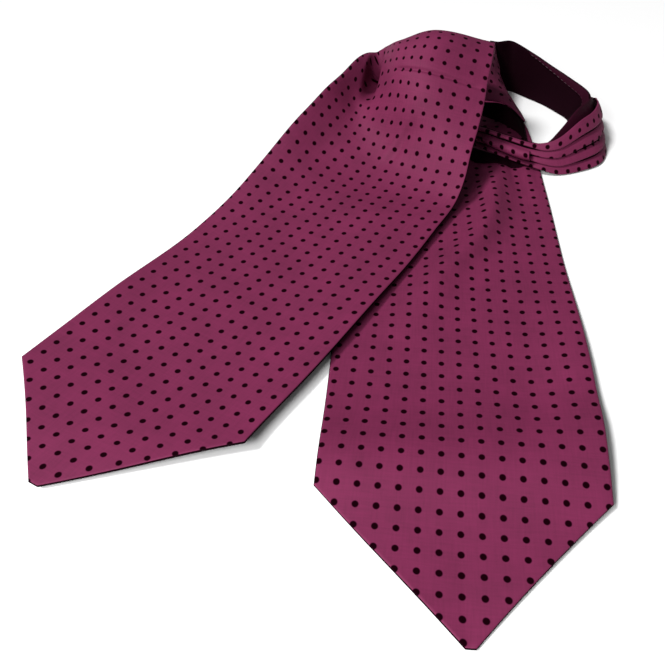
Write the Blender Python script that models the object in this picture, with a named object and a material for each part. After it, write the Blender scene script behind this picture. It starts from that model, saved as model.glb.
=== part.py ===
# Silk cravat laid on a table: one pointed blade crosses over the other and arches up,
# and the pleated neckband loops round behind it. Lengths in the tables are millimetres.

import bpy
import numpy as np
from collections import namedtuple

MM = 0.001
CENTRE_X = 25.65
CENTRE_Y = 380.13

BLADE_WALL = 2.4
BAND_WALL = 3.2
SEAM_GAP = 0.3
HALF_WIDTH = 76.0
TIP_ROUND = 2.5

# The blade on top is a net of sections. Each row is one section across the cloth, at a distance
# along it from the tip, and holds where five lines of the cloth pass: the left edge, the hollow of
# the long fold, the ridge beside it, the middle and the right edge.
Section = namedtuple("Section", "along left hollow ridge middle right")
LINES_ACROSS = (-76.0, -45.0, -10.0, 25.0, 76.0)
TOP_BLADE = (
    Section(0, (-216, 228, 9), (-189, 211, 6), (-159, 193, 4), (-128, 176, 5), (-84, 150, 16)),
    Section(50, (-188, 270, 8), (-161, 254, 6), (-131, 236, 5), (-100, 219, 6), (-58, 194, 13)),
    Section(91, (-167, 304, 7), (-140, 288, 4), (-109, 271, 3), (-79, 253, 4), (-38, 227, 10)),
    Section(132, (-145, 340, 6), (-119, 323, 3), (-88, 305, 3), (-58, 287, 3), (-15, 260, 10)),
    Section(212, (-100, 408, 4), (-74, 392, 3), (-44, 373, 3), (-15, 355, 4), (29, 328, 10)),
    Section(253, (-77, 441, 10), (-52, 426, 5), (-22, 408, 4), (8, 389, 6), (50, 361, 9)),
    Section(294, (-55, 473, 21), (-29, 459, 10), (0, 441, 7), (29, 423, 8), (72, 398, 10)),
    Section(334, (-29, 503, 39), (-8, 492, 19), (21, 476, 9), (50, 458, 9), (92, 431, 15)),
    Section(354, (-16, 516, 47), (4, 508, 26), (30, 492, 15), (58, 473, 17), (98, 443, 26)),
    Section(374, (-4, 529, 54), (14, 522, 31), (37, 504, 27), (62, 484, 34), (103, 459, 36)),
    Section(395, (8, 544, 58), (22, 536, 36), (43, 510, 46), (64, 490, 53), (110, 478, 46)),
    Section(415, (20, 561, 63), (32, 550, 46), (47, 516, 65), (67, 500, 69), (115, 493, 58)),
    Section(435, (28, 575, 62), (39, 562, 60), (50, 528, 77), (70, 515, 83), (119, 510, 69)),
    Section(455, (34, 586, 56), (44, 573, 67), (53, 541, 84), (76, 531, 92), (124, 528, 79)),
    Section(476, (38, 591, 45), (49, 584, 62), (56, 557, 79), (79, 547, 91), (127, 546, 82)),
    Section(500, (41, 593, 31), (53, 590, 44), (59, 573, 63), (80, 564, 75), (121, 561, 71)),
    Section(525, (44, 592, 18), (55, 590, 24), (61, 581, 42), (79, 574, 50), (108, 568, 48)),
    Section(550, (47, 589, 8), (57, 588, 10), (63, 584, 20), (77, 578, 24), (97, 573, 22)),
    Section(570, (50, 586, 2), (58, 584, 2), (64, 582, 2), (76, 579, 2), (91, 575, 2)),
)
TOP_LEFT_SHOULDER = 60.5
TOP_RIGHT_SHOULDER = 76.0
TOP_TIP_ACROSS = -4.0
TOP_TIP_ALONG = 4.5

# The lower blade lies flat but for the wave, fold and lifted edge below. Its rows give the plan.
Plan = namedtuple("Plan", "y left right")
LOW_BLADE = (
    Plan(111, -17, 130),
    Plan(190, -9, 138),
    Plan(290, 0, 152),
    Plan(400, 10, 161),
    Plan(450, 16, 165),
    Plan(480, 36, 167),
    Plan(505, 74, 169),
    Plan(535, 104, 171),
    Plan(562, 112, 171),
    Plan(580, 113, 169),
    Plan(597, 112, 165),
    Plan(616, 110, 161),
    Plan(630, 109, 159),
)
LOW_TIP_X = 58.5
LOW_TIP_Y = 113.5
LOW_SHOULDER_Y = 185.3
LOW_TIP_SAG = 3.0
REST_LIFT = 0.25
WAVE_Y = 207.0
WAVE_HEIGHT = 9.0
WAVE_REACH = 30.0
EDGE_LIFT = 6.0

Fold = namedtuple("Fold", "y x height reach")
LOW_FOLD = (
    Fold(295, 40, 0, 16),
    Fold(327, 58, 3, 15),
    Fold(366, 80, 6, 14),
    Fold(385, 95, 7, 13),
    Fold(403, 107, 8, 12),
    Fold(430, 118, 9, 11),
    Fold(462, 125, 8, 9),
    Fold(492, 131, 4, 8),
    Fold(515, 134, 0, 8),
)

# The neckband stands on its long edge. Each row is a section: the lower edge and the upper edge.
Stand = namedtuple("Stand", "low high")
BAND_FRONT = (
    Stand((95, 536, 5), (91, 541, 17)),
    Stand((109, 527, 6), (106, 531, 20)),
    Stand((124, 517, 6), (121, 524, 23)),
    Stand((141, 502, 5), (140, 513, 22)),
    Stand((158, 491, 4), (157, 501, 22)),
    Stand((170, 487, 3), (169, 496, 23)),
    Stand((184, 487, 0), (181, 498, 27)),
    Stand((205, 494, 0), (198, 511, 34)),
    Stand((219, 503, 0), (212, 526, 34)),
    Stand((227, 517, 0), (219, 538, 34)),
    Stand((230.5, 531, 0), (222, 548, 33)),
    Stand((230.5, 544, 0), (224, 557, 30)),
    Stand((228, 556, 0), (227, 566, 27)),
    Stand((222, 567, 0), (226, 575, 26)),
)
BAND_BACK = (
    Stand((191, 530, 1), (207, 537, 25)),
    Stand((197, 543, 0), (214, 548, 26)),
    Stand((206, 560, 0), (221, 561, 27)),
    Stand((211, 576, 0), (222, 577, 28)),
    Stand((203, 593, 0), (209, 599, 31)),
    Stand((194, 607, 0), (197, 611, 35)),
    Stand((183, 620, 0), (184, 627, 39)),
    Stand((172, 632, 0), (167, 645, 43)),
    Stand((162, 636, 0), (152, 639, 45)),
)
PLEATS = 3
PLEAT_STEP = 1.6

# The stretch that turns the neckband over on to the lower blade: from its crease up to its free side.
Turn = namedtuple("Turn", "crease side")
BAND_TURN = (
    Turn((159, 634.3, 3.8), (149, 636, 45)),
    Turn((162, 616, 3.8), (143, 612, 46)),
    Turn((166, 597, 3.8), (138, 592, 42)),
    Turn((169, 580, 3.8), (134, 575, 35)),
    Turn((170, 566, 3.8), (130, 559, 26)),
)

# A pleat that rolls out of the front stretch. Each row is at a section of that stretch, counted as
# in BAND_FRONT, with the shares of its height that the roll covers and how far it stands out.
Roll = namedtuple("Roll", "at low high proud")
ROLL = (
    Roll(2.1, 0.34, 0.66, 3.0),
    Roll(2.7, 0.26, 0.68, 6.0),
    Roll(3.4, 0.22, 0.68, 7.5),
    Roll(4.2, 0.24, 0.70, 7.0),
)

# The gathered end under the arch, where the band widens into the upper blade.
Tube = namedtuple("Tube", "x y z wide tall")
GATHER = (
    Tube(70, 576.8, 6.2, 18, 6),
    Tube(69, 569.5, 8.2, 17, 8),
    Tube(72, 559, 9.2, 14, 9),
    Tube(80, 548, 10, 10, 9),
    Tube(89.4, 539.7, 11, 6, 7),
)


def smooth(knots, values, at):
    """Cubic curve through the values at the knots, with the slope at each taken from its neighbours."""
    knots = np.asarray(knots, float)
    values = np.asarray(values, float)
    at = np.clip(np.asarray(at, float), knots[0], knots[-1])
    slope = np.gradient(values, knots, axis=0)
    i = np.clip(np.searchsorted(knots, at, side="right") - 1, 0, len(knots) - 2)
    step = knots[i + 1] - knots[i]
    t = (at - knots[i]) / step
    shape = at.shape + (1,) * (values.ndim - 1)
    t = t.reshape(shape)
    step = step.reshape(shape)
    a = (1 + 2 * t) * (1 - t) ** 2 * values[i] + t * (1 - t) ** 2 * step * slope[i]
    b = t * t * (3 - 2 * t) * values[i + 1] - t * t * (1 - t) * step * slope[i + 1]
    return a + b


def ease(x):
    x = np.clip(x, 0.0, 1.0)
    return x * x * (3 - 2 * x)


def normals(grid):
    along = np.gradient(grid, axis=0)
    across = np.gradient(grid, axis=1)
    n = np.cross(across, along)
    return n / np.maximum(np.linalg.norm(n, axis=2, keepdims=True), 1e-9)


def closed_sheet(name, top, bottom, colour):
    """A solid between two grids of the same shape, closed round its four sides."""
    rows, columns = top.shape[:2]
    points = np.concatenate([top.reshape(-1, 3), bottom.reshape(-1, 3)])
    points = (points - (CENTRE_X, CENTRE_Y, 0.0)) * MM
    lower = rows * columns
    faces = []
    for i in range(rows - 1):
        for j in range(columns - 1):
            a = i * columns + j
            b = a + 1
            c = a + columns + 1
            d = a + columns
            faces.append((a, b, c, d))
            faces.append((lower + d, lower + c, lower + b, lower + a))
    rim = [j for j in range(columns)]
    rim += [i * columns + columns - 1 for i in range(1, rows)]
    rim += [(rows - 1) * columns + j for j in range(columns - 2, -1, -1)]
    rim += [i * columns for i in range(rows - 2, 0, -1)]
    for k, a in enumerate(rim):
        b = rim[(k + 1) % len(rim)]
        faces.append((b, a, lower + a, lower + b))
    return add_mesh(name, points, faces, colour)


def add_mesh(name, points, faces, colour):
    mesh = bpy.data.meshes.new(name)
    mesh.from_pydata([tuple(p) for p in points], [], faces)
    mesh.update()
    made = bpy.data.objects.new(name, mesh)
    bpy.context.scene.collection.objects.link(made)
    cloth = bpy.data.materials.new(name + " silk")
    cloth.use_nodes = True
    shader = cloth.node_tree.nodes["Principled BSDF"]
    shader.inputs["Base Color"].default_value = colour
    shader.inputs["Roughness"].default_value = 0.45
    mesh.materials.append(cloth)
    return made


def resting(top, wall, lowest):
    """The underside: one wall below the top along its normal, and flat where it would pass the table."""
    below = top - normals(top) * wall
    below[:, :, 2] = np.maximum(below[:, :, 2], lowest)
    return below


def low_left(y):
    return smooth([row.y for row in LOW_BLADE], [row.left for row in LOW_BLADE], y)


def low_right(y):
    return smooth([row.y for row in LOW_BLADE], [row.right for row in LOW_BLADE], y)


def low_height(x, y):
    """How high the upper face of the lower blade is above its rest."""
    wave = WAVE_HEIGHT * np.exp(-(((y - WAVE_Y) / WAVE_REACH) ** 2))
    centre = smooth([f.y for f in LOW_FOLD], [f.x for f in LOW_FOLD], y)
    height = smooth([f.y for f in LOW_FOLD], [f.height for f in LOW_FOLD], y)
    reach = smooth([f.y for f in LOW_FOLD], [f.reach for f in LOW_FOLD], y)
    fold = height * np.exp(-(((x - centre) / reach) ** 2))
    edge = EDGE_LIFT * ease(1 - (low_right(y) - x) / 40) * ease((y - 200) / 40) * ease((380 - y) / 120)
    tip = 3.0 * ease((190 - y) / 60) * np.abs(x - LOW_TIP_X) / 60
    return wave + fold + edge + tip


def lower_blade():
    y = np.concatenate([np.linspace(LOW_TIP_Y, LOW_SHOULDER_Y, 9)[:-1], np.linspace(LOW_SHOULDER_Y, 630, 44)])
    share = np.linspace(0, 1, 25)
    point = np.clip((y - LOW_TIP_Y + TIP_ROUND) / (LOW_SHOULDER_Y - LOW_TIP_Y + TIP_ROUND), 0, 1)
    left = LOW_TIP_X + (low_left(y) - LOW_TIP_X) * point + LOW_TIP_SAG * 4 * point * (1 - point)
    right = LOW_TIP_X + (low_right(y) - LOW_TIP_X) * point
    x = left[:, None] + (right - left)[:, None] * share[None, :]
    # The point is drawn square to the blade, which leans with its two long edges.
    lean = -0.065 * (x - (left + right)[:, None] / 2) * ease((560 - y) / 60)[:, None]
    yy = y[:, None] + lean
    z = BLADE_WALL + low_height(x, yy)
    top = np.stack([x, yy, z], axis=2)
    bottom = top.copy()
    bottom[:, :, 2] = np.maximum(z - BLADE_WALL - REST_LIFT, 0.0)
    return closed_sheet("blade_right", top, bottom, (0.26, 0.035, 0.11, 1))


def top_blade_at(along, across):
    """A point of the upper blade: along is a distance from the tip, across one from its middle line."""
    knots = [row.along for row in TOP_BLADE]
    lines = np.stack([smooth(knots, [row[1 + k] for row in TOP_BLADE], along) for k in range(5)], axis=1)
    made = np.empty((len(along), across.shape[1], 3))
    for i in range(len(along)):
        made[i] = smooth(LINES_ACROSS, lines[i], across[i])
    return made


def upper_blade():
    along = np.concatenate([
        np.linspace(TOP_TIP_ALONG, TOP_LEFT_SHOULDER, 8)[:-1],
        np.linspace(TOP_LEFT_SHOULDER, TOP_RIGHT_SHOULDER, 3)[:-1],
        np.linspace(TOP_RIGHT_SHOULDER, 320, 24)[:-1],
        np.linspace(320, 570, 36),
    ])
    share = np.linspace(0, 1, 27)
    from_tip = along - TOP_TIP_ALONG + TIP_ROUND
    left_share = np.clip(from_tip / (TOP_LEFT_SHOULDER - TOP_TIP_ALONG + TIP_ROUND), 0, 1)
    right_share = np.clip(from_tip / (TOP_RIGHT_SHOULDER - TOP_TIP_ALONG + TIP_ROUND), 0, 1)
    left = TOP_TIP_ACROSS - (HALF_WIDTH + TOP_TIP_ACROSS) * left_share
    right = TOP_TIP_ACROSS + (HALF_WIDTH - TOP_TIP_ACROSS) * right_share
    across = left[:, None] + (right - left)[:, None] * share[None, :]
    top = top_blade_at(along, across)
    over = ease((top[:, :, 0] - low_left(top[:, :, 1]) + 12) / 12) * (along < 350)[:, None]
    least = BLADE_WALL + over * (BLADE_WALL + SEAM_GAP)
    top[:, :, 2] = np.maximum(top[:, :, 2], least)
    bottom = resting(top, BLADE_WALL, 0.0)
    bottom[:, :, 2] = np.maximum(bottom[:, :, 2], least - BLADE_WALL)
    return closed_sheet("blade_left", top, bottom, (0.30, 0.04, 0.13, 1))


def stretch(rows, at, share):
    """The middle of a standing stretch of band, and the way its outer face looks. Share is one row or one each."""
    knots = np.arange(len(rows))
    low = smooth(knots, [r[0] for r in rows], at)[:, None]
    high = smooth(knots, [r[1] for r in rows], at)[:, None]
    share = np.broadcast_to(share, (len(at), np.shape(share)[-1]))[:, :, None]
    middle = low * (1 - share) + high * share
    return middle, -normals(middle)


def band(name, rows, steps, columns, wall, pleats, colour):
    """A stretch of the standing neckband. Each pleat of its outer face stands proud at its lower edge."""
    share = np.linspace(0, 1, columns)
    middle, out = stretch(rows, np.linspace(0, len(rows) - 1, steps), share)
    step = PLEAT_STEP * (1 - (share * (pleats + 1)) % 1.0) if pleats else np.zeros(columns)
    outer = middle + out * (wall / 2 + step[None, :, None])
    inner = middle - out * (wall / 2)
    outer[:, :, 2] = np.maximum(outer[:, :, 2], 0.0)
    inner[:, :, 2] = np.maximum(inner[:, :, 2], 0.0)
    return closed_sheet(name, inner, outer, colour)


def rolled_pleat(name, steps, columns, colour):
    """The roll, made from the front stretch's own points moved out past its pleats."""
    at = np.linspace(ROLL[0].at, ROLL[-1].at, steps)
    low, high, proud = (smooth([r.at for r in ROLL], [r[k] for r in ROLL], at)[:, None] for k in (1, 2, 3))
    over = np.linspace(0, 1, columns)[None, :]
    middle, out = stretch(BAND_FRONT, at, low + (high - low) * over)
    back = BAND_WALL / 2 + PLEAT_STEP + SEAM_GAP
    swell = 0.8 + proud * np.sqrt(1 - (2 * over - 1) ** 2)
    return closed_sheet(name, middle + out * back, middle + out * (back + swell)[:, :, None], colour)


def tube(name, rows, steps, sides, colour):
    """A rounded solid along a row of centres, wider than it is tall or the other way about."""
    knots = np.arange(len(rows))
    path = smooth(knots, [tuple(r) for r in rows], np.linspace(0, len(rows) - 1, steps))
    heading = np.gradient(path[:, :2], axis=0)
    heading /= np.linalg.norm(heading, axis=1, keepdims=True)
    points = []
    for p, h in zip(path, heading):
        for k in range(sides):
            turn = 2 * np.pi * k / sides
            side = np.cos(turn) * p[3]
            points.append((p[0] + h[1] * side, p[1] - h[0] * side, p[2] + np.sin(turn) * p[4]))
    faces = []
    for i in range(steps - 1):
        for k in range(sides):
            a = i * sides + k
            b = i * sides + (k + 1) % sides
            faces.append((a, a + sides, b + sides, b))
    faces.append(tuple(range(sides)))
    faces.append(tuple((steps - 1) * sides + k for k in range(sides - 1, -1, -1)))
    points = (np.array(points) - (CENTRE_X, CENTRE_Y, 0.0)) * MM
    return add_mesh(name, points, faces, colour)


def build():
    for old in list(bpy.data.objects):
        bpy.data.objects.remove(old)
    lower_blade()
    upper_blade()
    band("neckband_front", BAND_FRONT, 56, 13, BAND_WALL, PLEATS, (0.24, 0.03, 0.10, 1))
    band("neckband_back", BAND_BACK, 30, 7, BAND_WALL, 0, (0.06, 0.01, 0.03, 1))
    band("neckband_turn", BAND_TURN, 16, 9, BLADE_WALL, 0, (0.22, 0.03, 0.09, 1))
    rolled_pleat("neckband_roll", 14, 11, (0.34, 0.05, 0.15, 1))
    tube("neckband_gather", GATHER, 10, 16, (0.22, 0.03, 0.09, 1))


build()
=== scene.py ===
# %% [markdown]
# # A silk cravat, laid on a table
# A day cravat is one long strip of silk: two wide pointed blades joined by a narrow pleated
# neckband. Here one blade lies flat, the other crosses it and rises into an arch, and the band
# loops round behind them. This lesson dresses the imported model, whose solids give every place,
# with thin shells of cloth, a pin-dot silk twill and the stitches that hold it together.

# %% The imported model
import bpy
import math
import numpy as np
from collections import namedtuple
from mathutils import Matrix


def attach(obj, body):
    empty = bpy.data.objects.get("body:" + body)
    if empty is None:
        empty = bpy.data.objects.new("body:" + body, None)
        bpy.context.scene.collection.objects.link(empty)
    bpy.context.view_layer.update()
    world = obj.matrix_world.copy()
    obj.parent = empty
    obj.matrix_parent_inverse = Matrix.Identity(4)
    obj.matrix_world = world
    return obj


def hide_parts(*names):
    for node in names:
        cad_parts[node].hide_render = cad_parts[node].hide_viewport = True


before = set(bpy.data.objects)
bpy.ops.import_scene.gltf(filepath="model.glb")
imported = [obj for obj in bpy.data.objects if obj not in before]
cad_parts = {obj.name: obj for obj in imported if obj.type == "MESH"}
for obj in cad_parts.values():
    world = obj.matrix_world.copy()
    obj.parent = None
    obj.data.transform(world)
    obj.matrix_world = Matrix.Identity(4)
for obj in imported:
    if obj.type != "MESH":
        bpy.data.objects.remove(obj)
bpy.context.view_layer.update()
print("solids:", sorted(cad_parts))

# %% [markdown]
# ## Frame and camera
# The tables below are millimetres measured from the point of the table under the camera, with Y
# along its view, so one shift carries them to the model's frame, whose origin is the middle of the
# part. The camera stands 304 mm over the table and looks down at 45 degrees.

# %% Shift and camera
MM = 0.001
CENTRE = np.array((25.65, 380.13, 0.0))
CAMERA_HEIGHT = 303.7
CAMERA_DOWN = math.radians(44.81)
CAMERA_LENS = 37.52

camera = bpy.data.cameras.new("camera")
camera.lens = CAMERA_LENS
camera.sensor_width = 36.0
camera.sensor_fit = "HORIZONTAL"
camera.clip_start = 0.01
eye = bpy.data.objects.new("camera", camera)
eye.location = (-CENTRE[0] * MM, -CENTRE[1] * MM, CAMERA_HEIGHT * MM)
eye.rotation_euler = (math.pi / 2 - CAMERA_DOWN, 0, 0)
bpy.context.scene.collection.objects.link(eye)
bpy.context.scene.camera = eye

# %% [markdown]
# ## Reading a form from a few sections
# Cloth that lies in folds has no simple formula, but a handful of sections across it describe it
# well: each says where a few lines of the cloth pass. A smooth curve through the sections gives
# every point between them, so a shell can be as fine as its folds need.

# %% Curves through sections
def smooth(knots, values, at):
    """Cubic curve through the values at the knots, with the slope at each taken from its neighbours."""
    knots = np.asarray(knots, float)
    values = np.asarray(values, float)
    at = np.clip(np.asarray(at, float), knots[0], knots[-1])
    slope = np.gradient(values, knots, axis=0)
    i = np.clip(np.searchsorted(knots, at, side="right") - 1, 0, len(knots) - 2)
    step = knots[i + 1] - knots[i]
    t = (at - knots[i]) / step
    shape = at.shape + (1,) * (values.ndim - 1)
    t = t.reshape(shape)
    step = step.reshape(shape)
    a = (1 + 2 * t) * (1 - t) ** 2 * values[i] + t * (1 - t) ** 2 * step * slope[i]
    b = t * t * (3 - 2 * t) * values[i + 1] - t * t * (1 - t) * step * slope[i + 1]
    return a + b


def ramp(x, start, end):
    """A soft rise from 0 at the start to 1 at the end, which may be the smaller of the two."""
    t = np.clip((x - start) / (end - start), 0.0, 1.0)
    return t * t * (3 - 2 * t)


def bump(x, reach):
    """A soft hill, 1 at x = 0 and gone beyond the reach."""
    return np.exp(-((x / reach) ** 2))


def normals(grid):
    """Unit normals of a grid of points, on its upper side when rows run away and columns right."""
    n = np.cross(np.gradient(grid, axis=1), np.gradient(grid, axis=0))
    return n / np.maximum(np.linalg.norm(n, axis=2, keepdims=True), 1e-9)

# %% [markdown]
# ## A doubled silk as a shell
# Each blade is one piece of silk folded round a light interlining, so its edges aren't cut edges
# but soft folds about 2 mm thick. The shell is therefore a grid of its middle surface, thickened
# to both sides, with a thickness that falls to nothing round the rim along a quarter circle.
# Extra rows and columns near the rim keep that roll round.

# %% Shell maker
RIM_STEPS = (0.0, 0.35, 0.9, 1.8)
THIN_RIM_STEPS = (0.0, 0.3, 0.8)
LEAST_WALL = 0.02
FACES_ACROSS = {}


def spread(count, length, rim=RIM_STEPS):
    """Shares from 0 to 1 with the rim's own close steps, in millimetres of the length, at both ends."""
    near = np.minimum(np.array(rim) / length, 0.3)
    return np.concatenate([near[:-1], np.linspace(near[-1], 1 - near[-1], count), 1 - near[:-1][::-1]])


def rim_distance(grid):
    """How far each point of a grid is from the nearest of its four sides, over the cloth."""
    across = np.cumsum(np.linalg.norm(np.diff(grid, axis=1, prepend=grid[:, :1]), axis=2), axis=1)
    along = np.cumsum(np.linalg.norm(np.diff(grid, axis=0, prepend=grid[:1]), axis=2), axis=0)
    return np.minimum.reduce([across, across[:, -1:] - across, along, along[-1:] - along])


def shell(name, middle, cloth, half, lowest=0.0):
    """A closed shell round a grid of middle points; cloth gives each point's place in the flat silk.
    FACES_ACROSS keeps how many faces lie in a row, so that a face's row can be told from its number."""
    rows, columns = middle.shape[:2]
    share = 1 - np.clip(rim_distance(middle) / (half * 1.2), 0, 1)
    thick = (half * np.sqrt(1 - share ** 2))[:, :, None]
    n = normals(middle)
    top = middle + n * thick
    bottom = middle - n * thick
    bottom[:, :, 2] = np.maximum(bottom[:, :, 2], lowest)
    top[:, :, 2] = np.maximum(top[:, :, 2], lowest + LEAST_WALL)
    edge = np.ones((rows, columns), bool)
    edge[1:-1, 1:-1] = False
    upper = np.arange(rows * columns).reshape(rows, columns)
    under = upper.copy()
    under[~edge] = rows * columns + np.arange((~edge).sum())
    points = np.concatenate([top.reshape(-1, 3), bottom[~edge]])
    place = np.concatenate([cloth.reshape(-1, 2), cloth[~edge]])
    faces = quads(upper) + [tuple(reversed(q)) for q in quads(under)]
    FACES_ACROSS[name] = columns - 1
    return cloth_object(name, points, faces, place)


def quads(index):
    a, b, c, d = index[:-1, :-1], index[:-1, 1:], index[1:, 1:], index[1:, :-1]
    return [tuple(int(v) for v in q) for q in np.stack([a, b, c, d], axis=-1).reshape(-1, 4)]


def cloth_object(name, points, faces, place):
    mesh = bpy.data.meshes.new(name)
    mesh.from_pydata([tuple(p) for p in (points - CENTRE) * MM], [], faces)
    layer = mesh.uv_layers.new(name="cloth")
    corner = np.empty(len(mesh.loops), int)
    mesh.loops.foreach_get("vertex_index", corner)
    layer.data.foreach_set("uv", np.asarray(place, np.float32)[corner].reshape(-1))
    mesh.polygons.foreach_set("use_smooth", np.ones(len(mesh.polygons), bool))
    mesh.update()
    made = bpy.data.objects.new(name, mesh)
    bpy.context.scene.collection.objects.link(made)
    print(f"{name}: {len(points)} points, {len(faces)} faces")
    return made

# %% [markdown]
# ## The upper blade
# This blade lies flat from its point, its right side over the other blade, then climbs a steep
# front wall, turns over a soft crest and comes down behind. One long fold runs up its left side:
# the cloth dips into a hollow there and stands up again as a wall beside it. Nineteen sections,
# each with five lines of the cloth, hold all of that.

# %% Upper blade: sections
BLADE_WALL = 2.4
SEAM_GAP = 0.3
HALF_WIDTH = 76.0
TIP_ROUND = 2.5
Section = namedtuple("Section", "along left hollow ridge middle right")
LINES_ACROSS = (-76.0, -45.0, -10.0, 25.0, 76.0)
TOP_BLADE = (
    Section(0, (-216, 228, 9), (-189, 211, 6), (-159, 193, 4), (-128, 176, 5), (-84, 150, 16)),
    Section(50, (-188, 270, 8), (-161, 254, 6), (-131, 236, 5), (-100, 219, 6), (-58, 194, 13)),
    Section(91, (-167, 304, 7), (-140, 288, 4), (-109, 271, 3), (-79, 253, 4), (-38, 227, 10)),
    Section(132, (-145, 340, 6), (-119, 323, 3), (-88, 305, 3), (-58, 287, 3), (-15, 260, 10)),
    Section(212, (-100, 408, 4), (-74, 392, 3), (-44, 373, 3), (-15, 355, 4), (29, 328, 10)),
    Section(253, (-77, 441, 10), (-52, 426, 5), (-22, 408, 4), (8, 389, 6), (50, 361, 9)),
    Section(294, (-55, 473, 21), (-29, 459, 10), (0, 441, 7), (29, 423, 8), (72, 398, 10)),
    Section(334, (-29, 503, 39), (-8, 492, 19), (21, 476, 9), (50, 458, 9), (92, 431, 15)),
    Section(354, (-16, 516, 47), (4, 508, 26), (30, 492, 15), (58, 473, 17), (98, 443, 26)),
    Section(374, (-4, 529, 54), (14, 522, 31), (37, 504, 27), (62, 484, 34), (103, 459, 36)),
    Section(395, (8, 544, 58), (22, 536, 36), (43, 510, 46), (64, 490, 53), (110, 478, 46)),
    Section(415, (20, 561, 63), (32, 550, 46), (47, 516, 65), (67, 500, 69), (115, 493, 58)),
    Section(435, (28, 575, 62), (39, 562, 60), (50, 528, 77), (70, 515, 83), (119, 510, 69)),
    Section(455, (34, 586, 56), (44, 573, 67), (53, 541, 84), (76, 531, 92), (124, 528, 79)),
    Section(476, (38, 591, 45), (49, 584, 62), (56, 557, 79), (79, 547, 91), (127, 546, 82)),
    Section(500, (41, 593, 31), (53, 590, 44), (59, 573, 63), (80, 564, 75), (121, 561, 71)),
    Section(525, (44, 592, 18), (55, 590, 24), (61, 581, 42), (79, 574, 50), (108, 568, 48)),
    Section(550, (47, 589, 8), (57, 588, 10), (63, 584, 20), (77, 578, 24), (97, 573, 22)),
    Section(570, (50, 586, 2), (58, 584, 2), (64, 582, 2), (76, 579, 2), (91, 575, 2)),
)
TOP_LEFT_SHOULDER = 60.5
TOP_RIGHT_SHOULDER = 76.0
TOP_TIP_ACROSS = -4.0
TOP_TIP_ALONG = 4.5


def top_blade_at(along, across):
    knots = [row.along for row in TOP_BLADE]
    each = [smooth(knots, [row[1 + k] for row in TOP_BLADE], along) for k in range(5)]
    lines = np.stack(each, axis=1)
    return np.stack([smooth(LINES_ACROSS, lines[i], across[i]) for i in range(len(along))])

# %% [markdown]
# Fine creases are laid over the sections, each in the cloth's own measures: how far along
# the blade it is and how far across. The sharpest is a fold mark straight across the front wall.
# The slanted dent and the rise beside it are the wall's drag lines, and the pocket is the hollow
# left of the crest. All heights and reaches are millimetres.

# %% Upper blade: creases
MARK_ALONG = 425.5
MARK_DEPTH = 1.7
MARK_LIP = 0.4
SLANT_ACROSS = 8
SLANT_ALONG = 352
SLANT_LEAN = 0.43
DENT_DEPTH = 1.6
RISE_HEIGHT = 1.1
DRAG_ALONG = 366
DRAG_REACH = 20
SLOW_HEIGHT = 0.35
FINE_HEIGHT = 0.14
POCKET_DEPTH = 32.0
POCKET_REACH = 7.0
POCKET_ACROSS = -56
POCKET_ALONG = 437
POCKET_LEAN = 0.40
POCKET_STARTS = 394
POCKET_DEEP = (438, 448)
POCKET_ENDS = 458


def top_blade_creases(along, across):
    """Height added along the normal, for the small folds that lie between the sections."""
    past = along - MARK_ALONG
    mark = (MARK_LIP * bump(past - 5, 5) - MARK_DEPTH * bump(past, 1.5)) * ramp(across, -20, 0)
    slant = across - SLANT_ACROSS - (along - SLANT_ALONG) * SLANT_LEAN
    dent = -DENT_DEPTH * bump(slant, 3.5) * bump(along - DRAG_ALONG, DRAG_REACH)
    rise = RISE_HEIGHT * bump(slant + 7, 4) * bump(along - DRAG_ALONG, DRAG_REACH)
    slow = SLOW_HEIGHT * np.sin(along / 23 + across / 41) * np.sin(across / 29 + 1.3)
    fine = FINE_HEIGHT * np.sin(along / 9.5 - across / 13) * np.sin(across / 8.5 + along / 31)
    centre = POCKET_ACROSS + POCKET_LEAN * np.maximum(POCKET_ALONG - along, 0)
    held = ramp(along, POCKET_STARTS, POCKET_DEEP[0]) * ramp(along, POCKET_ENDS, POCKET_DEEP[1])
    pocket = -POCKET_DEPTH * bump(across - centre, POCKET_REACH) * held
    return mark + dent + rise + slow + fine + pocket


DOT_ACROSS = 10.5
DOT_ALONG = 10.12
TOP_FIRST_ROW = 4.95
TOP_DRAWN = 5.4
TOP_DRAWN_SLOPE = 0.62
TOP_DRAWN_BACK = 0.84
TOP_DRAWN_ASIDE = 0.30
TOP_CORNER_DRAWN = 1.7
Askew = namedtuple("Askew", "row start")
TOP_ASKEW = (
    Askew(0, -0.47),
    Askew(4, -0.53),
    Askew(8, -0.63),
    Askew(16, -0.77),
    Askew(20, -0.82),
    Askew(24, -0.87),
    Askew(28, -0.92),
    Askew(50, -0.92),
)


def top_blade_dots(along, across):
    """The dot grid's own counts at a place on the blade: it was cut a little askew to the edges,
    and the silk is drawn up where it is sewn along the point's right side."""
    near_seam = ramp(along - TOP_DRAWN_SLOPE * across, 58, 18)
    drawn = TOP_DRAWN * near_seam * ramp(across + TOP_DRAWN_SLOPE * along, 105, 15)
    along = along - TOP_DRAWN_BACK * drawn
    corner = ramp(across, 30, 70) * ramp(along, 130, 70)
    across = across + TOP_DRAWN_ASIDE * drawn - TOP_CORNER_DRAWN * corner
    v = along / DOT_ALONG - TOP_FIRST_ROW
    start = smooth([a.row for a in TOP_ASKEW], [a.start for a in TOP_ASKEW], v)
    return np.stack([across / DOT_ACROSS + start, v], axis=-1)

# %% [markdown]
# The lower blade's form is needed first, because the upper one rests on it.

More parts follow.
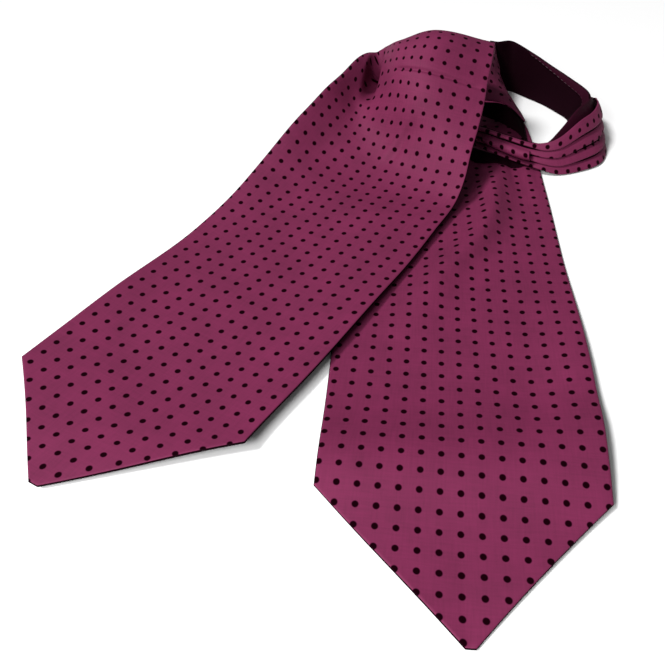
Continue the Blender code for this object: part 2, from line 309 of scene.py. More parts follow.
# %% Lower blade: plan and height
Plan = namedtuple("Plan", "y left right")
LOW_BLADE = (
    Plan(111, -17, 130),
    Plan(190, -9, 138),
    Plan(290, 0, 152),
    Plan(400, 10, 161),
    Plan(450, 16, 165),
    Plan(480, 36, 167),
    Plan(505, 74, 169),
    Plan(535, 104, 171),
    Plan(562, 112, 171),
    Plan(580, 113, 169),
    Plan(597, 112, 165),
    Plan(616, 110, 161),
    Plan(630, 109, 159),
)
LOW_TIP_X = 58.5
LOW_TIP_Y = 113.5
LOW_SHOULDER_Y = 185.3
LOW_TIP_SAG = 3.0
WAVE_Y = 207.0
WAVE_HEIGHT = 9.0
WAVE_REACH = 30.0
EDGE_LIFT = 6.0
POINT_LIFT = 3.0
Fold = namedtuple("Fold", "y x height reach")
LOW_FOLD = (
    Fold(295, 40, 0, 16),
    Fold(327, 58, 3, 15),
    Fold(366, 80, 6, 14),
    Fold(385, 95, 7, 13),
    Fold(403, 107, 8, 12),
    Fold(430, 118, 9, 11),
    Fold(462, 125, 8, 9),
    Fold(492, 131, 4, 8),
    Fold(515, 134, 0, 8),
)


def low_left(y):
    return smooth([row.y for row in LOW_BLADE], [row.left for row in LOW_BLADE], y)


def low_right(y):
    return smooth([row.y for row in LOW_BLADE], [row.right for row in LOW_BLADE], y)


def low_height(x, y):
    wave = WAVE_HEIGHT * bump(y - WAVE_Y, WAVE_REACH)
    centre = smooth([f.y for f in LOW_FOLD], [f.x for f in LOW_FOLD], y)
    height = smooth([f.y for f in LOW_FOLD], [f.height for f in LOW_FOLD], y)
    reach = smooth([f.y for f in LOW_FOLD], [f.reach for f in LOW_FOLD], y)
    fold = height * bump(x - centre, reach)
    beside = ramp(low_right(y) - x, 40, 0)
    edge = EDGE_LIFT * beside * ramp(y, 200, 240) * ramp(y, 380, 260)
    tip = POINT_LIFT * ramp(y, 190, 130) * np.abs(x - LOW_TIP_X) / 60
    return wave + fold + edge + tip

# %% Upper blade: shell
def make_upper_blade():
    along = np.concatenate([
        TOP_TIP_ALONG + np.array((0.0, 0.4, 1.1, 2.2)),
        np.linspace(8.5, TOP_LEFT_SHOULDER, 18)[:-1],
        np.linspace(TOP_LEFT_SHOULDER, TOP_RIGHT_SHOULDER, 6)[:-1],
        np.linspace(TOP_RIGHT_SHOULDER, 300, 60)[:-1],
        np.linspace(300, 420, 60)[:-1],
        np.linspace(420, 432, 25)[:-1],
        np.linspace(432, 450, 12)[:-1],
        np.linspace(450, 567, 44),
        np.array((568.2, 569.3, 570)),
    ])
    from_tip = along - TOP_TIP_ALONG + TIP_ROUND
    left_share = np.clip(from_tip / (TOP_LEFT_SHOULDER - TOP_TIP_ALONG + TIP_ROUND), 0, 1)
    right_share = np.clip(from_tip / (TOP_RIGHT_SHOULDER - TOP_TIP_ALONG + TIP_ROUND), 0, 1)
    left = TOP_TIP_ACROSS - (HALF_WIDTH + TOP_TIP_ACROSS) * left_share
    right = TOP_TIP_ACROSS + (HALF_WIDTH - TOP_TIP_ACROSS) * right_share
    across = np.stack([a + (b - a) * spread(80, b - a) for a, b in zip(left, right)])
    face = top_blade_at(along, across)
    over = ramp(face[:, :, 0] - low_left(face[:, :, 1]), -12, 0) * (along < 350)[:, None]
    least = BLADE_WALL + over * (BLADE_WALL + SEAM_GAP)
    face[:, :, 2] = np.maximum(face[:, :, 2], least)
    lines = np.repeat(along[:, None], across.shape[1], axis=1)
    lift = top_blade_creases(lines, across) * ramp(rim_distance(face), 0, 12)
    face = face + normals(face) * lift[:, :, None]
    face[:, :, 2] = np.maximum(face[:, :, 2], least)
    middle = face - normals(face) * BLADE_WALL / 2
    middle[:, :, 2] = np.maximum(middle[:, :, 2], least - BLADE_WALL / 2)
    return shell("upper_blade", middle, top_blade_dots(lines, across), BLADE_WALL / 2)


upper_blade = make_upper_blade()

# %% [markdown]
# ## The lower blade
# It lies flat, but a low wave crosses it near the point, its right edge lifts, and one main ridge
# with smaller ones beside it gathers the cloth in towards the neckband.

# %% Lower blade: shell
Ridge = namedtuple("Ridge", "x0 y0 x1 y1 height reach")
GATHERS = (
    Ridge(118, 470, 70, 380, 1.4, 5),
    Ridge(132, 500, 112, 400, -1.9, 6),
    Ridge(140, 500, 132, 395, 1.9, 6),
    Ridge(148, 505, 145, 405, -2.0, 5),
    Ridge(156, 505, 154, 420, 1.6, 5),
    Ridge(112, 470, 52, 400, -1.4, 7),
)


def gathers(x, y):
    """Small ridges and hollows that fan out from the neckband, each a straight line that fades away."""
    total = np.zeros_like(x)
    for r in GATHERS:
        length = math.hypot(r.x1 - r.x0, r.y1 - r.y0)
        dx, dy = (r.x1 - r.x0) / length, (r.y1 - r.y0) / length
        along = (x - r.x0) * dx + (y - r.y0) * dy
        aside = -(x - r.x0) * dy + (y - r.y0) * dx
        fade = ramp(along, length, 0) * ramp(along, -40, -10)
        total = total + r.height * bump(aside, r.reach * (1 + along / length)) * fade
    return total


LOW_DOT_ACROSS = 10.3
LOW_DOT_ALONG = 9.93
LOW_DOTS_X = 56.6
LOW_DOTS_Y = 126
LOW_DOTS_TURN = 0.1075
LOW_DOTS_BOW = 1.7
LOW_DOTS_LEAN = 0.094
LOW_DOTS_LEAN_LOST = 0.028
LOW_DOTS_DROP = 1.3


def low_blade_dots(x, y):
    """Rows of dots lie across the blade and lean a little, because the silk was cut askew."""
    bow = LOW_DOTS_BOW * ramp(y, 180, 270) * ramp(y, 500, 410)
    middle = LOW_DOTS_X + (y - LOW_DOTS_Y) * LOW_DOTS_TURN + bow
    u = (x - middle) / LOW_DOT_ACROSS
    lean = LOW_DOTS_LEAN - LOW_DOTS_LEAN_LOST * ramp(y, 290, 380)
    drop = LOW_DOTS_DROP * bump(y - 265, 45)
    v = (y + lean * (x - middle) - LOW_DOTS_Y - drop) / LOW_DOT_ALONG - 1
    return np.stack([u, v], axis=-1)


LOW_CROSS_LEAN = -0.065
LOW_SLOW_HEIGHT = 0.3
LOW_FINE_HEIGHT = 0.12


def make_lower_blade():
    y = np.concatenate([
        LOW_TIP_Y + np.array((0.0, 0.4, 1.1, 2.2)),
        np.linspace(LOW_TIP_Y + 5, LOW_SHOULDER_Y, 22)[:-1],
        np.linspace(LOW_SHOULDER_Y, 627, 130),
        np.array((628.2, 629.3, 630)),
    ])
    point = np.clip((y - LOW_TIP_Y + TIP_ROUND) / (LOW_SHOULDER_Y - LOW_TIP_Y + TIP_ROUND), 0, 1)
    left = LOW_TIP_X + (low_left(y) - LOW_TIP_X) * point + LOW_TIP_SAG * 4 * point * (1 - point)
    right = LOW_TIP_X + (low_right(y) - LOW_TIP_X) * point
    x = np.stack([a + (b - a) * spread(70, b - a) for a, b in zip(left, right)])
    lean = LOW_CROSS_LEAN * (x - (left + right)[:, None] / 2) * ramp(y, 560, 500)[:, None]
    yy = y[:, None] + lean
    slow = LOW_SLOW_HEIGHT * np.sin(yy / 27 + x / 38) * np.sin(x / 24 + 0.7)
    fine = LOW_FINE_HEIGHT * np.sin(yy / 10 - x / 14) * np.sin(x / 9 + yy / 33)
    z = BLADE_WALL + low_height(x, yy)
    flat = np.stack([x, yy, z], axis=2)
    soft = ramp(rim_distance(flat), 0, 10)
    z = np.maximum(z + (gathers(x, yy) + slow + fine) * soft, BLADE_WALL)
    face = np.stack([x, yy, z], axis=2)
    middle = face - normals(face) * BLADE_WALL / 2
    middle[:, :, 2] = np.maximum(middle[:, :, 2], BLADE_WALL / 2)
    return shell("lower_blade", middle, low_blade_dots(x, yy), BLADE_WALL / 2)


lower_blade = make_lower_blade()

# %% [markdown]
# ## The neckband
# The band is the same silk laid in pleats along its length, so that four plies show. It stands on
# its long edge. Every ply is its own thin shell, tucked under the one above it, and the plies draw
# together towards the upper blade.

# %% Neckband: stretches
BAND_WALL = 3.2
BAND_END_STEPS = (0.02, 0.06)
Stand = namedtuple("Stand", "low high")
BAND_FRONT = (
    Stand((95, 536, 5), (91, 541, 17)),
    Stand((109, 527, 6), (106, 531, 20)),
    Stand((124, 517, 6), (121, 524, 23)),
    Stand((141, 502, 5), (140, 513, 22)),
    Stand((158, 491, 4), (157, 501, 22)),
    Stand((170, 487, 3), (169, 496, 23)),
    Stand((184, 487, 0), (181, 498, 27)),
    Stand((205, 494, 0), (198, 511, 34)),
    Stand((219, 503, 0), (212, 526, 34)),
    Stand((227, 517, 0), (219, 538, 34)),
    Stand((230.5, 531, 0), (222, 548, 33)),
    Stand((230.5, 544, 0), (224, 557, 30)),
    Stand((228, 556, 0), (227, 566, 27)),
    Stand((222, 567, 0), (226, 575, 26)),
)
BAND_BACK = (
    Stand((191, 530, 1), (207, 537, 25)),
    Stand((197, 543, 0), (214, 548, 26)),
    Stand((206, 560, 0), (221, 561, 27)),
    Stand((211, 576, 0), (222, 577, 28)),
    Stand((203, 593, 0), (209, 599, 31)),
    Stand((194, 607, 0), (197, 611, 35)),
    Stand((183, 620, 0), (184, 627, 39)),
    Stand((172, 632, 0), (167, 645, 43)),
    Stand((162, 636, 0), (152, 639, 45)),
    Stand((156, 638.5, 0), (145, 641.5, 45)),
)
BAND_TURN = (
    Stand((159, 635.1, 3.8), (148, 639.2, 45)),
    Stand((162, 616, 3.8), (143, 612, 46)),
    Stand((166, 597, 3.8), (138, 592, 42)),
    Stand((169, 580, 3.8), (134, 575, 35)),
    Stand((170, 566, 3.8), (130, 559, 26)),
)


def stretch(rows, at, share):
    """The middle of a standing stretch of band, and the way its outer face looks."""
    knots = np.arange(len(rows))
    low = smooth(knots, [r[0] for r in rows], at)[:, None]
    high = smooth(knots, [r[1] for r in rows], at)[:, None]
    share = np.broadcast_to(share, (len(at), np.shape(share)[-1]))[:, :, None]
    middle = low * (1 - share) + high * share
    return middle, -normals(middle)


def band_rows(rows, count):
    """Places along a stretch, counted in its sections, with close ones at both ends for the rim."""
    last = len(rows) - 1
    near, next_in = BAND_END_STEPS
    return np.concatenate([(0, near), np.linspace(next_in, last - next_in, count), (last - near, last)])


def strip_dots(middle, row):
    """Dot counts on a strip: along its length, and across from one row of dots at its middle."""
    steps = np.linalg.norm(np.diff(middle, axis=0, prepend=middle[:1]), axis=2)
    along = np.cumsum(steps, axis=0).mean(axis=1)[:, None] / DOT_ALONG
    across = np.cumsum(np.linalg.norm(np.diff(middle, axis=1, prepend=middle[:, :1]), axis=2), axis=1)
    across = (across - across[:, -1:] / 2) / DOT_ACROSS
    return np.stack([across + row, along + np.zeros_like(across) + 0.4 * row], axis=-1)

# %% Neckband: plies of the near stretch
PLY_HALF = 0.6
PLY_STEP = 2.6
PLY_CROWN = 0.5
ROPE_CROWN = 1.1
ROPE_NARROWING = 0.55
PLEAT_OPENING = 0.085
END_DIP = 0.10
SHADE_INSIDE = 2.0
Ply = namedtuple("Ply", "low high row")
FRONT_PLIES = (Ply(0.0, 0.27, 0.2), Ply(0.23, 0.51, 0.62), Ply(0.47, 0.76, 1.38), Ply(0.72, 1.0, 2.05))


def make_front_plies():
    """The four plies, which draw together near the arch and stand open where the loop turns back.
    Their shares are of the band's height, and their places count the rows of BAND_FRONT."""
    made = []
    for k, ply in enumerate(FRONT_PLIES):
        at = band_rows(BAND_FRONT, 130)
        narrow = ROPE_NARROWING * ramp(at, 5.2, 3.8)
        open_pleat = PLEAT_OPENING * ramp(at, 5.8, 7.0) * ramp(at, 12.2, 10.2) * (ply.high < 1)
        end_dips = END_DIP * ramp(at, 11.6, 13.0) * (ply.high == 1)
        centre = (ply.low + ply.high) / 2
        low = (centre + (ply.low - centre) * (1 - narrow))[:, None]
        high = (centre + (ply.high - centre) * (1 - narrow) - open_pleat - end_dips)[:, None]
        share = low + (high - low) * spread(16, 10, THIN_RIM_STEPS)
        middle, out = stretch(BAND_FRONT, at, share)
        over = np.linspace(0, 1, share.shape[1])[None, :]
        rope = ramp(at, 5.5, 2.5)[:, None]
        stand = -BAND_WALL / 2 + PLY_HALF + PLY_STEP * (1 - over) + 0.2
        crown = (PLY_CROWN + ROPE_CROWN * rope) * np.sin(np.pi * over) ** 0.8
        middle = middle + out * (stand + crown)[:, :, None]
        dots = strip_dots(middle, ply.row)
        made.append(shell(f"front_ply_{k + 1}", middle[:, ::-1], dots[:, ::-1], PLY_HALF))
    return made


def make_inner_ply():
    """The band's inner layer, which stands a little above the outer one where the loop turns back."""
    at = np.concatenate([(5.2, 5.22), np.linspace(5.3, 10.4, 70), (10.48, 10.5)])
    rise = 0.24 * np.sin(np.pi * np.clip((at - 5.2) / 5.3, 0, 1)) ** 0.8
    share = 0.55 + (0.43 + rise)[:, None] * spread(20, 14, THIN_RIM_STEPS)[None, :]
    middle, out = stretch(BAND_FRONT, at, share)
    over = np.linspace(0, 1, share.shape[1])[None, :]
    middle = middle - out * (SHADE_INSIDE + 1.2 + 1.5 * over)[:, :, None]
    return shell("inner_ply", middle[:, ::-1], strip_dots(middle, 0)[:, ::-1], PLY_HALF)


def make_pleat_shade():
    """A dark sheet between the plies: painted shade that shows wherever a pleat stands open."""
    at = band_rows(BAND_FRONT, 130)
    tall = 0.95 - 0.14 * ramp(at, 11.3, 13.0)
    share = 0.02 + tall[:, None] * spread(16, 36, THIN_RIM_STEPS)[None, :]
    middle, out = stretch(BAND_FRONT, at, share)
    middle = middle - out * SHADE_INSIDE
    return shell("pleat_shade", middle[:, ::-1], strip_dots(middle, 0)[:, ::-1], 0.4)


front_plies = make_front_plies()
pleat_shade = make_pleat_shade()
inner_ply = make_inner_ply()

# %% [markdown]
# One pleat has sprung forward out of the near stretch and rolled over. Its section is an open
# curl, so it is made as a strip carried round a turning angle about a line in front of the band.

# %% Neckband: the rolled pleat
Roll = namedtuple("Roll", "at share radius")
ROLL = (
    Roll(2.15, 0.50, 1.5),
    Roll(2.7, 0.47, 3.0),
    Roll(3.4, 0.45, 3.7),
    Roll(4.15, 0.47, 3.5),
)
ROLL_HALF = 0.45
ROLL_FROM = 155
ROLL_ROUND = 320
ROLL_STANDS = BAND_WALL / 2 + 1.6


def make_roll():
    first, last = ROLL[0].at, ROLL[-1].at
    body = np.linspace(first + 0.06, last - 0.05, 50)
    at = np.concatenate([(first, first + 0.02), body, (last - 0.02, last)])
    share = smooth([r.at for r in ROLL], [r.share for r in ROLL], at)[:, None]
    radius = smooth([r.at for r in ROLL], [r.radius for r in ROLL], at)[:, None, None]
    line, out = stretch(BAND_FRONT, at, np.concatenate([share, share + 0.05], axis=1))
    up = line[:, 1:] - line[:, :1]
    up = up / np.linalg.norm(up, axis=2, keepdims=True)
    turn = np.radians(ROLL_FROM - ROLL_ROUND * spread(30, 20, THIN_RIM_STEPS))[None, :, None]
    curl = radius * (1 - 0.14 * (turn < 0) * np.abs(turn) / np.pi)
    axis = line[:, :1] + out[:, :1] * (ROLL_STANDS + radius)
    middle = axis + curl * (np.cos(turn) * out[:, :1] + np.sin(turn) * up)
    return shell("rolled_pleat", middle, strip_dots(middle, 0), ROLL_HALF, lowest=3.0)


rolled_pleat = make_roll()

# %% [markdown]
# The far stretch shows its inner side: a dark, plain lining, made near black as painted shade for the
# inside of the loop, with the silk turned over its upper edge in a strip that widens towards the right;
# that strip is coloured darker than the silk as painted shade.

# %% Neckband: far stretch and its turned edge
BACK_HALF = 1.3
Edge = namedtuple("Edge", "at width")
BACK_EDGE = (
    Edge(0.2, 0.34),
    Edge(1.0, 0.32),
    Edge(2.0, 0.30),
    Edge(3.0, 0.24),
    Edge(4.0, 0.17),
    Edge(5.0, 0.09),
    Edge(6.2, 0.03),
)


def make_back():
    middle, out = stretch(BAND_BACK, band_rows(BAND_BACK, 90), spread(24, 26))
    line = np.arange(middle.shape[0])[:, None]
    over = np.linspace(0, 1, middle.shape[1])[None, :]
    ripple = 0.35 * np.sin(line / 2.6 + 2 * over) * np.sin(np.pi * over) + 0.25 * np.sin(line / 7.0 + 1)
    middle = middle + out * (ripple * ramp(np.minimum(line, line[::-1]), 0, 6))[:, :, None]
    return shell("back_band", middle, strip_dots(middle, 2), BACK_HALF)


def make_back_edge():
    at = np.linspace(BACK_EDGE[0].at, BACK_EDGE[-1].at, 70)
    width = smooth([e.at for e in BACK_EDGE], [e.width for e in BACK_EDGE], at)[:, None]
    share = 1.0 - width * (1 - spread(8, 6, (0, 0.2, 0.5)))[None, :]
    middle, out = stretch(BAND_BACK, at, share)
    puff = 0.5 * np.sin(np.pi * np.linspace(0, 1, share.shape[1]))[None, :, None]
    middle = middle - out * (BACK_HALF + SEAM_GAP + 0.5 + puff)
    return shell("back_edge_strip", middle, strip_dots(middle, 1), 0.4)


back_band = make_back()
back_edge = make_back_edge()

# %% [markdown]
# Where the band turns down on to the lower blade it makes a hood: one edge creased on the blade,
# the other standing free. The dark inside of its mouth is painted shade: the hood's inner face and a
# sheet under it.

# %% Neckband: turn and gathered end
MOUTH_LIFT = 8.5
FACET_RISE = 1.4
FACET_DIP = 1.2


def make_turn():
    at = band_rows(BAND_TURN, 70)
    reach = 1 + 0.07 * ramp(at, 0, 2)
    middle, out = stretch(BAND_TURN, at, reach[:, None] * spread(34, 40)[None, :])
    line = np.linspace(0, 1, middle.shape[0])[:, None]
    over = np.linspace(0, 1, middle.shape[1])[None, :]
    rise = FACET_RISE * bump(over - 0.45 - 0.25 * line, 0.07)
    facet = rise - FACET_DIP * bump(over - 0.68 + 0.1 * line, 0.06)
    middle = middle + out * (facet * np.sin(np.pi * line) * np.sin(np.pi * over))[:, :, None]
    mouth = MOUTH_LIFT * ramp(line, 0.35, 1.0) * np.sin(np.pi * over) ** 1.3
    middle[:, :, 2] += mouth
    middle[:, :, 1] -= 0.5 * mouth
    return shell("band_turn", middle, strip_dots(middle, 0), BLADE_WALL / 2 - 0.1, lowest=2.72)


HOOD_FLOOR = ((133, 572, 6.5), (143, 564, 6.5), (151, 555, 6.5), (158, 543, 6.5), (164, 527, 6.0))


def make_hood_shade():
    """A dark sheet inside the mouth of the hood, drawn down on to the blade: painted shade in the
    hollow.
    """
    across = np.linspace(0, 1, 30)
    low, high = (np.array(point, float) for point in (BAND_TURN[-1].low, BAND_TURN[-1].high))
    rim = high + (low - high) * across[:, None]
    lift = MOUTH_LIFT * np.sin(np.pi * across) ** 1.3
    rim = rim + np.stack([0 * lift - 0.8, 2.5 - 0.5 * lift, lift - 1.2], axis=1)
    rim[:, 2] = np.maximum(rim[:, 2], 5.0)
    floor_line = smooth(np.linspace(0, 1, len(HOOD_FLOOR)), HOOD_FLOOR, across)
    down = spread(16, 20, THIN_RIM_STEPS)[None, :, None]
    middle = rim[:, None] * (1 - down) + floor_line[:, None] * down
    middle = middle + np.array((0, 5.0, 0)) * (np.sin(np.pi * down) * (1 - across[:, None, None]))
    return shell("hood_shade", middle, strip_dots(middle, 0), 0.4, lowest=4.2)


SHADOW_NEAR = ((114, 503), (127.5, 494), (143, 491), (162, 494))
SHADOW_FAR = ((110, 524), (125, 516), (141, 503), (162, 497))


def make_band_shadow():
    """A dark sheet laid on the blade just in front of the near stretch: the band's painted shadow."""
    at = np.linspace(0, 3, 46)
    near = smooth(np.arange(4), SHADOW_NEAR, at)[:, None]
    far = smooth(np.arange(4), SHADOW_FAR, at)[:, None]
    share = spread(14, 14, THIN_RIM_STEPS)[None, :, None]
    plan = near + (far - near) * share
    x, y = plan[:, :, 0], plan[:, :, 1]
    z = BLADE_WALL + low_height(x, y) + np.maximum(gathers(x, y), 0) + 1.1 + 0.8 * share[:, :, 0]
    middle = np.stack([x, y, z], axis=2)
    return shell("band_shadow", middle, strip_dots(middle, 0), 0.45)


Tube = namedtuple("Tube", "x y z wide tall")
GATHER = (
    Tube(70, 576.8, 6.2, 18, 6),
    Tube(69, 569.5, 8.2, 17, 8),
    Tube(72, 559, 9.2, 14, 9),
    Tube(80, 548, 10, 10, 9),
    Tube(89.4, 539.7, 11, 6, 7),
)
GATHER_RIDGES = 9
GATHER_RINGS = 44
GATHER_SIDES = 108
RIDGE_DEPTH = 0.10


def make_gather():
    """A tube of gathered cloth, with ridges along it that stay inside the solid's own outline."""
    at = np.linspace(0, len(GATHER) - 1, GATHER_RINGS)
    path = smooth(np.arange(len(GATHER)), [tuple(r) for r in GATHER], at)
    heading = np.gradient(path[:, :2], axis=0)
    heading /= np.linalg.norm(heading, axis=1, keepdims=True)
    turn = np.linspace(0, 2 * np.pi, GATHER_SIDES, endpoint=False)[None, :]
    ridge = 1 - RIDGE_DEPTH * (0.5 - 0.5 * np.cos(turn * GATHER_RIDGES + path[:, 4:5] / 3))
    ring = np.arange(GATHER_RINGS)
    closing = (1 - np.minimum(ring, ring[::-1]) / 3).clip(0, 1)
    end = np.sqrt(np.clip(1 - closing ** 2, 0.02, 1))[:, None]
    side = np.cos(turn) * path[:, 3:4] * ridge * end
    rise = np.sin(turn) * path[:, 4:5] * ridge * end
    x = path[:, :1] + heading[:, 1:] * side
    y = path[:, 1:2] - heading[:, :1] * side
    points = np.stack([x, y, path[:, 2:3] + rise], axis=2)
    index = np.arange(GATHER_RINGS * GATHER_SIDES).reshape(GATHER_RINGS, GATHER_SIDES)
    closed = np.concatenate([index, index[:, :1]], axis=1)
    faces = [tuple(reversed(q)) for q in quads(closed)] + [tuple(index[0])] + [tuple(index[-1][::-1])]
    u = turn * 10 / DOT_ACROSS + 0 * rise
    v = ring[:, None] * 1.1 / DOT_ALONG + 0 * rise
    place = np.stack([u, v], axis=2)
    return cloth_object("gathered_end", points.reshape(-1, 3), faces, place.reshape(-1, 2))


band_turn = make_turn()
hood_shade = make_hood_shade()
band_shadow = make_band_shadow()
gathered_end = make_gather()

# %% [markdown]
# ## Slip stitches
# A doubled blade closes with a seam down the middle of its underside. The same small stitch repeats
# at an even pitch, which is work for Geometry Nodes: the tree resamples a seam line, puts a short
# rounded bar on each point along the line, makes the copies real and gives them the thread.

# %% Stitch tree
def stitch_tree():
    tree = bpy.data.node_groups.new("slip stitches", "GeometryNodeTree")
    face = tree.interface
    face.new_socket("Seam", in_out="INPUT", socket_type="NodeSocketGeometry")
    for label, value in (("Pitch", 0.006), ("Stitch length", 0.0028), ("Thread radius", 0.00022)):
        socket = face.new_socket(label, in_out="INPUT", socket_type="NodeSocketFloat")
        socket.default_value = value
    face.new_socket("Thread", in_out="INPUT", socket_type="NodeSocketMaterial")
    face.new_socket("Stitches", in_out="OUTPUT", socket_type="NodeSocketGeometry")
    nodes, links = tree.nodes, tree.links
    given = nodes.new("NodeGroupInput")
    line = nodes.new("GeometryNodeMeshToCurve")
    even = nodes.new("GeometryNodeResampleCurve")
    even.mode = "LENGTH"
    tangent = nodes.new("GeometryNodeInputTangent")
    align = nodes.new("FunctionNodeAlignEulerToVector")
    align.axis = "Z"
    bar = nodes.new("GeometryNodeMeshCylinder")
    bar.inputs["Vertices"].default_value = 6
    place = nodes.new("GeometryNodeInstanceOnPoints")
    real = nodes.new("GeometryNodeRealizeInstances")
    paint = nodes.new("GeometryNodeSetMaterial")
    out = nodes.new("NodeGroupOutput")
    links.new(given.outputs["Seam"], line.inputs["Mesh"])
    links.new(line.outputs["Curve"], even.inputs["Curve"])
    links.new(given.outputs["Pitch"], even.inputs["Length"])
    links.new(tangent.outputs["Tangent"], align.inputs["Vector"])
    links.new(given.outputs["Thread radius"], bar.inputs["Radius"])
    links.new(given.outputs["Stitch length"], bar.inputs["Depth"])
    links.new(even.outputs["Curve"], place.inputs["Points"])
    links.new(bar.outputs["Mesh"], place.inputs["Instance"])
    links.new(align.outputs["Rotation"], place.inputs["Rotation"])
    links.new(place.outputs["Instances"], real.inputs["Geometry"])
    links.new(real.outputs["Geometry"], paint.inputs["Geometry"])
    links.new(given.outputs["Thread"], paint.inputs["Material"])
    links.new(paint.outputs["Geometry"], out.inputs["Stitches"])
    return tree


STITCHES = stitch_tree()
thread = bpy.data.materials.new("silk thread")


def stitch_line(name, points, pitch=0.006, length=0.0028):
    """Stitches along a line of points in the table frame, as one plain mesh."""
    mesh = bpy.data.meshes.new(name + " line")
    edges = [(i, i + 1) for i in range(len(points) - 1)]
    mesh.from_pydata([tuple(p) for p in (np.asarray(points) - CENTRE) * MM], edges, [])
    line = bpy.data.objects.new(name + " line", mesh)
    bpy.context.scene.collection.objects.link(line)
    modifier = line.modifiers.new("stitches", "NODES")
    modifier.node_group = STITCHES
    sockets = {s.name: s.identifier for s in STITCHES.interface.items_tree if s.in_out == "INPUT"}
    modifier[sockets["Pitch"]] = pitch
    modifier[sockets["Stitch length"]] = length
    modifier[sockets["Thread"]] = thread
    bpy.context.view_layer.update()
    graph = bpy.context.evaluated_depsgraph_get()
    made = bpy.data.objects.new(name, bpy.data.meshes.new_from_object(line.evaluated_get(graph)))
    bpy.context.scene.collection.objects.link(made)
    bpy.data.objects.remove(line)
    print(f"{name}: {len(made.data.polygons)} faces")
    return made


def back_edge_seam():
    at = np.linspace(0.4, 6.0, 80)
    width = smooth([e.at for e in BACK_EDGE], [e.width for e in BACK_EDGE], at)[:, None]
    share = np.concatenate([1.0 - width * 0.9, 1.0 - width * 0.5], axis=1)
    middle, out = stretch(BAND_BACK, at, share)
    return (middle - out * (BACK_HALF + SEAM_GAP + 1.35))[:, 0]


def blade_seam():
    along = np.linspace(300, 540, 160)
    face = top_blade_at(along, np.repeat([[-2.0, 0.0, 2.0]], 160, axis=0))
    return (face - normals(face) * (BLADE_WALL + 0.05))[:, 1]


edge_stitches = stitch_line("edge_stitches", back_edge_seam(), 0.0045, 0.0022)
seam_stitches = stitch_line("blade_seam_stitches", blade_seam())

# %% [markdown]
# ## Pin dots and twill as shared node groups
# Both effects live on the cloth's own coordinates, kept in the UV map as counts of dots, so the
# grid bends, leans and squeezes with every fold. Dots are a rule, not a picture: a point is in a
# dot when it is nearer than the dot's radius to the nearest crossing of the grid.

# %% Shader groups
def group(name, inputs, outputs):
    tree = bpy.data.node_groups.new(name, "ShaderNodeTree")
    for label, kind, value in inputs:
        socket = tree.interface.new_socket(label, in_out="INPUT", socket_type=kind)
        if value is not None:
            socket.default_value = value
    for label, kind in outputs:
        tree.interface.new_socket(label, in_out="OUTPUT", socket_type=kind)
    return tree, tree.nodes.new("NodeGroupInput"), tree.nodes.new("NodeGroupOutput")


def math_node(tree, operation, *values):
    node = tree.nodes.new("ShaderNodeMath")
    node.operation = operation
    for slot, value in enumerate(values):
        if isinstance(value, (int, float)):
            node.inputs[slot].default_value = value
        else:
            tree.links.new(value, node.inputs[slot])
    return node.outputs[0]


def vector_node(tree, operation, *values):
    node = tree.nodes.new("ShaderNodeVectorMath")
    node.operation = operation
    for slot, value in enumerate(values):
        if isinstance(value, tuple):
            node.inputs[slot].default_value = value
        else:
            tree.links.new(value, node.inputs[slot])
    return node


def noise_node(tree, vector, scale, detail):
    node = tree.nodes.new("ShaderNodeTexNoise")
    node.inputs["Scale"].default_value = scale
    node.inputs["Detail"].default_value = detail
    tree.links.new(vector, node.inputs["Vector"])
    return node.outputs["Fac"]


def pin_dot_group():
    """How much a place on the cloth is in a dot, with edges that wander a little as print does."""
    tree, given, out = group(
        "pin dots",
        (("Cloth", "NodeSocketVector", None), ("Dot radius mm", "NodeSocketFloat", 1.75),
         ("Edge mm", "NodeSocketFloat", 0.35)),
        (("Dot", "NodeSocketFloat"),))
    wobble = noise_node(tree, given.outputs["Cloth"], 2.3, 1.0)
    moved = vector_node(tree, "ADD", given.outputs["Cloth"], (0.5, 0.5, 0.0)).outputs[0]
    cell = vector_node(tree, "FRACTION", moved).outputs[0]
    off = vector_node(tree, "SUBTRACT", cell, (0.5, 0.5, 0.0)).outputs[0]
    mm = vector_node(tree, "MULTIPLY", off, (DOT_ACROSS, DOT_ALONG, 0.0)).outputs[0]
    far = vector_node(tree, "LENGTH", mm).outputs["Value"]
    wander = math_node(tree, "MULTIPLY", math_node(tree, "SUBTRACT", wobble, 0.5), 0.35)
    far = math_node(tree, "ADD", far, wander)
    fall = tree.nodes.new("ShaderNodeMapRange")
    fall.interpolation_type = "SMOOTHSTEP"
    tree.links.new(far, fall.inputs["Value"])
    radius, edge = given.outputs["Dot radius mm"], given.outputs["Edge mm"]
    tree.links.new(math_node(tree, "SUBTRACT", radius, edge), fall.inputs["From Min"])
    tree.links.new(math_node(tree, "ADD", radius, edge), fall.inputs["From Max"])
    fall.inputs["To Min"].default_value = 1.0
    fall.inputs["To Max"].default_value = 0.0
    tree.links.new(fall.outputs["Result"], out.inputs["Dot"])
    return tree


WARP_SCALE = (0.95, 0.07, 1.0)
WEFT_SCALE = (0.07, 0.95, 1.0)


